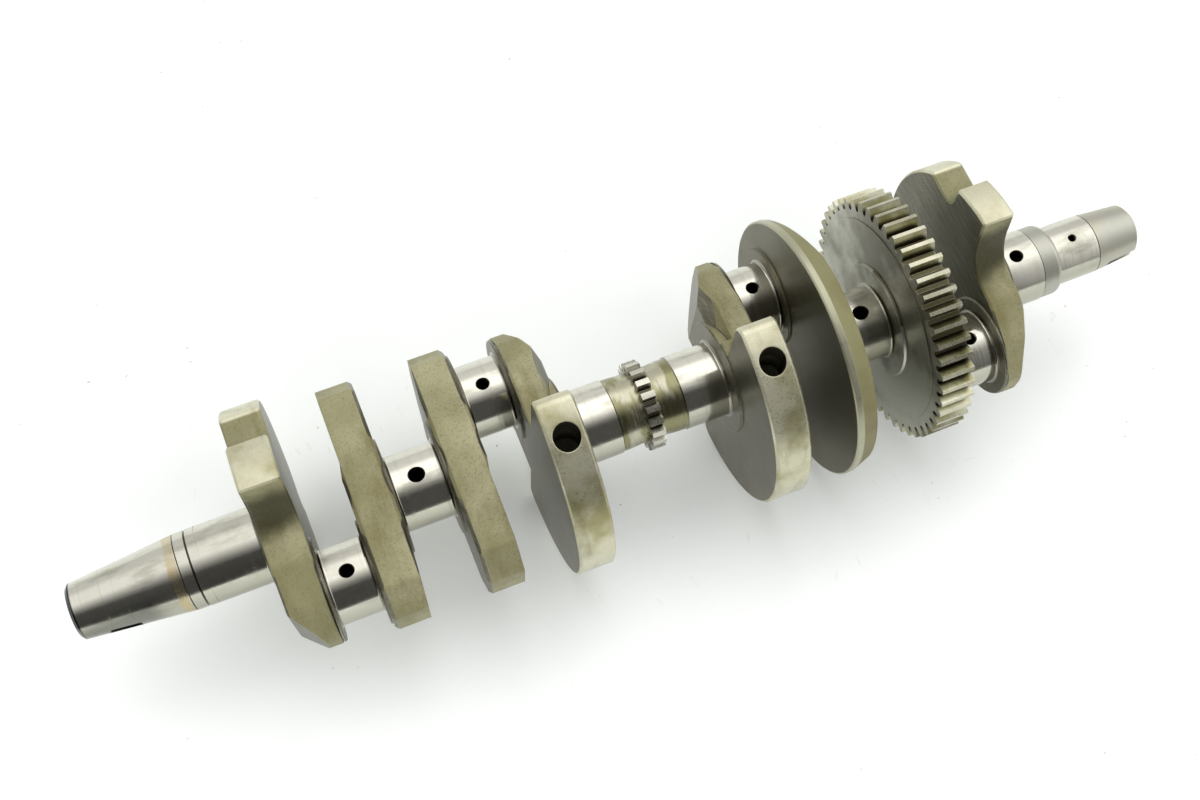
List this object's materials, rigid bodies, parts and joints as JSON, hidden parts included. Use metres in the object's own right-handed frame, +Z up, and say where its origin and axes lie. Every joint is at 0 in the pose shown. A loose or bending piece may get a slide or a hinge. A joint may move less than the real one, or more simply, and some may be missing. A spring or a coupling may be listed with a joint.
{
  "type": "engine crankshaft",
  "caption": "Crankshaft of a flat-plane inline engine, with counterweights, a geared web, a timing sprocket and a taper for a rotor.",
  "frame": {"origin": "on the main axis, in the middle of the timing sprocket", "axes": "+X along the shaft to the starter end, +Y the throw of the inner crankpins, +Z up as the shaft lies on a bench"},
  "size_m": [0.4352, 0.1046, 0.1046],
  "materials": {
    "ground": "ground bright",
    "forged": "forged and machined, satin",
    "toothed": "machined, satin",
    "machined": "turned, matt"
  },
  "bodies": {
    "root": {"main_journal_1": "ground", "main_journal_2": "ground", "main_journal_3": "ground", "main_journal_4": "ground", "main_journal_5": "ground", "main_journal_6": "ground", "crankpin_1": "ground", "crankpin_2": "ground", "crankpin_3": "ground", "crankpin_4": "ground", "starter_stub": "ground", "rotor_taper": "ground", "taper_land": "ground", "web_1": "forged", "web_2": "forged", "web_3": "forged", "web_4": "forged", "web_5": "forged", "web_6": "forged", "web_8": "forged", "primary_drive_gear": "toothed", "timing_sprocket": "toothed", "chain_shaft_left": "toothed", "chain_shaft_right": "toothed", "end_collar": "machined", "tail": "machined"}
  },
  "joints": []
}
